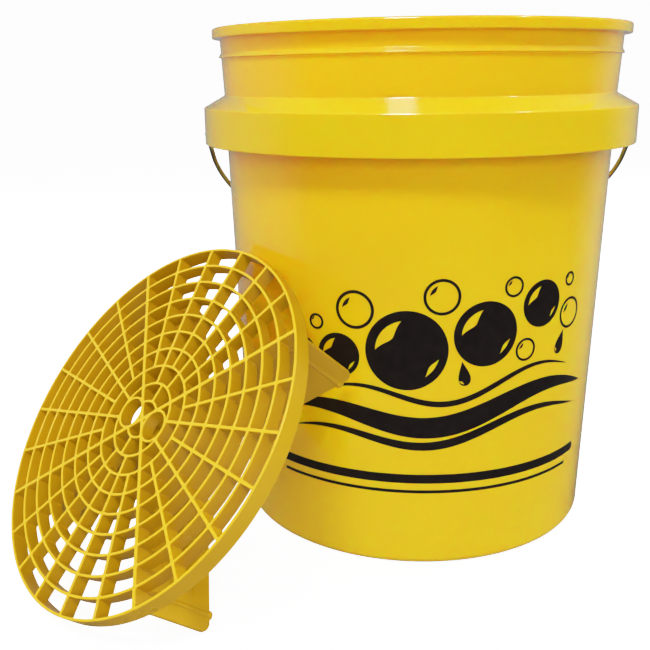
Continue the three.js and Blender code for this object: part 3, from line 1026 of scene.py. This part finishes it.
def rule(left, right, level, thickness):
    """A level line with round ends."""
    half = thickness / 2
    upper = [(u, level + half) for u in np.linspace(right - half, left + half, 60)]
    lower = [(u, level - half) for u in np.linspace(left + half, right - half, 60)]
    right_end = circle(right - half, level, half, 9, -90, 180)[1:-1]
    left_end = circle(left + half, level, half, 9, 90, 180)[1:-1]
    return lower + right_end + upper + left_end


def emblem():
    """A cluster of soap bubbles with two drops, over three swells and two level lines."""
    shape = Shape()
    for place in BUBBLES:
        bubble(shape, *place)
    for place in DROPS:
        drop(shape, *place)
    for line in SWELLS:
        ink(shape, swell(*line))
    for line in RULES:
        ink(shape, rule(*line))
    return shape.finish("printed_emblem", INK)


mark = emblem()
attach(mark, "bucket")


# ---------------------------------------------------------------- studio


def camera():
    yaw, pitch, roll = (math.radians(a) for a in (CAMERA_YAW, CAMERA_PITCH, CAMERA_ROLL))
    forward = Vector((math.sin(yaw) * math.cos(pitch), math.cos(yaw) * math.cos(pitch), math.sin(pitch)))
    right = forward.cross(Vector((0, 0, 1))).normalized()
    up = right.cross(forward)
    tilted_right = right * math.cos(roll) + up * math.sin(roll)
    tilted_up = up * math.cos(roll) - right * math.sin(roll)
    data = bpy.data.cameras.new("camera")
    data.lens, data.sensor_width, data.clip_start = LENS, SENSOR, 0.01
    view = bpy.data.objects.new("camera", data)
    rows = zip(tilted_right, tilted_up, -forward, CAMERA_PLACE)
    view.matrix_world = Matrix([list(row) for row in rows] + [[0, 0, 0, 1]])
    bpy.context.scene.collection.objects.link(view)
    bpy.context.scene.camera = view


def direction(azimuth, elevation):
    """Azimuth 0 is the front and grows to the right, in degrees."""
    a, e = math.radians(azimuth), math.radians(elevation)
    return Vector((math.sin(a) * math.cos(e), -math.cos(a) * math.cos(e), math.sin(e)))


def softbox(name, distance, azimuth, elevation, width, height, power, mirrored):
    """A flat lamp. One that isn't mirrored lights the object and shows in no reflection."""
    data = bpy.data.lights.new(name, "AREA")
    data.shape, data.size, data.size_y = "RECTANGLE", width, height
    data.energy = power
    lamp = bpy.data.objects.new(name, data)
    lamp.visible_glossy = mirrored
    place = LAMPS_AIM + distance * direction(azimuth, elevation)
    lamp.location = place
    lamp.rotation_euler = (LAMPS_AIM - place).to_track_quat("-Z", "Y").to_euler()
    bpy.context.scene.collection.objects.link(lamp)


def sheet():
    """A round white sheet that curves up all round, far from the object. Only the camera sees it, and
    the ground and the room light the object in its place."""
    line = rounded([(0, 0, 0), (SHEET_RADIUS, 0, SHEET_BEND), (SHEET_RADIUS, SHEET_HEIGHT, 0)], 20)
    points, normals, faces = turned([(r, z, -nr, -nz) for r, z, nr, nz in line], 96)
    mat, nodes, links, shader = material("sheet", Specular_IOR_Level=0.1, Emission_Strength=1.9)
    tone = noise(nodes, links, 2.0, 2)
    links.new(blend_colours(nodes, links, tone, (0.50, 0.50, 0.50), (0.52, 0.52, 0.52)),
              shader.inputs["Base Color"])
    links.new(spread(nodes, links, tone, 0, 1, 0.75, 0.85), shader.inputs["Roughness"])
    shader.inputs["Emission Color"].default_value = (1, 1, 1, 1)
    floor = add("floor_sheet", points, [f[::-1] for f in faces], normals, mat)
    floor.visible_diffuse = floor.visible_glossy = floor.visible_shadow = False


def ground():
    """A small pale floor just under the sheet. The camera never sees it, but it shades the object's
    underside and sends light up to it."""
    points, normals, faces = turned([(0, -1, 0, 1), (GROUND_RADIUS, -1, 0, 1)], 96)
    mat, nodes, links, shader = material("ground", Specular_IOR_Level=0.1)
    tone = noise(nodes, links, 2.0, 2)
    links.new(blend_colours(nodes, links, tone, (0.60, 0.60, 0.60), (0.62, 0.62, 0.62)),
              shader.inputs["Base Color"])
    floor = add("ground", points, [f[::-1] for f in faces], normals, mat)
    floor.visible_camera = floor.visible_glossy = False


def room():
    """The light that comes from all round: dim in front, paler behind, above and on the floor."""
    world = bpy.data.worlds.new("room")
    world.use_nodes = True
    nodes, links = world.node_tree.nodes, world.node_tree.links
    colour = ROOM_FRONT
    for way, start, end, tone in (
        (direction(ROOM_PALE_AZIMUTH, 0), -0.1, 0.3, ROOM_BACK),
        ((0, 0, 1), -0.2, -0.45, ROOM_FLOOR),
        ((0, 0, 1), 0.05, 0.4, ROOM_ABOVE),
    ):
        level = spread(nodes, links, along(nodes, links, "Generated", way), start, end, 0, 1)
        colour = blend_colours(nodes, links, level, colour, tone)
    links.new(colour, nodes["Background"].inputs["Color"])
    bpy.context.scene.world = world


def film():
    """Highlights that roll off, as in a photograph."""
    settings = bpy.context.scene.view_settings
    settings.view_transform = "Standard"
    settings.use_curve_mapping = True
    mapping = settings.curve_mapping
    white = FILM[-1][0]
    mapping.white_level, mapping.extend = (white, white, white), "HORIZONTAL"
    curve = mapping.curves[3]
    for x, y in FILM[1:-1]:
        curve.points.new(x / white, y)
    mapping.update()


camera()
sheet()
ground()
room()
for lamp_row in LAMPS:
    softbox(*lamp_row)
film()
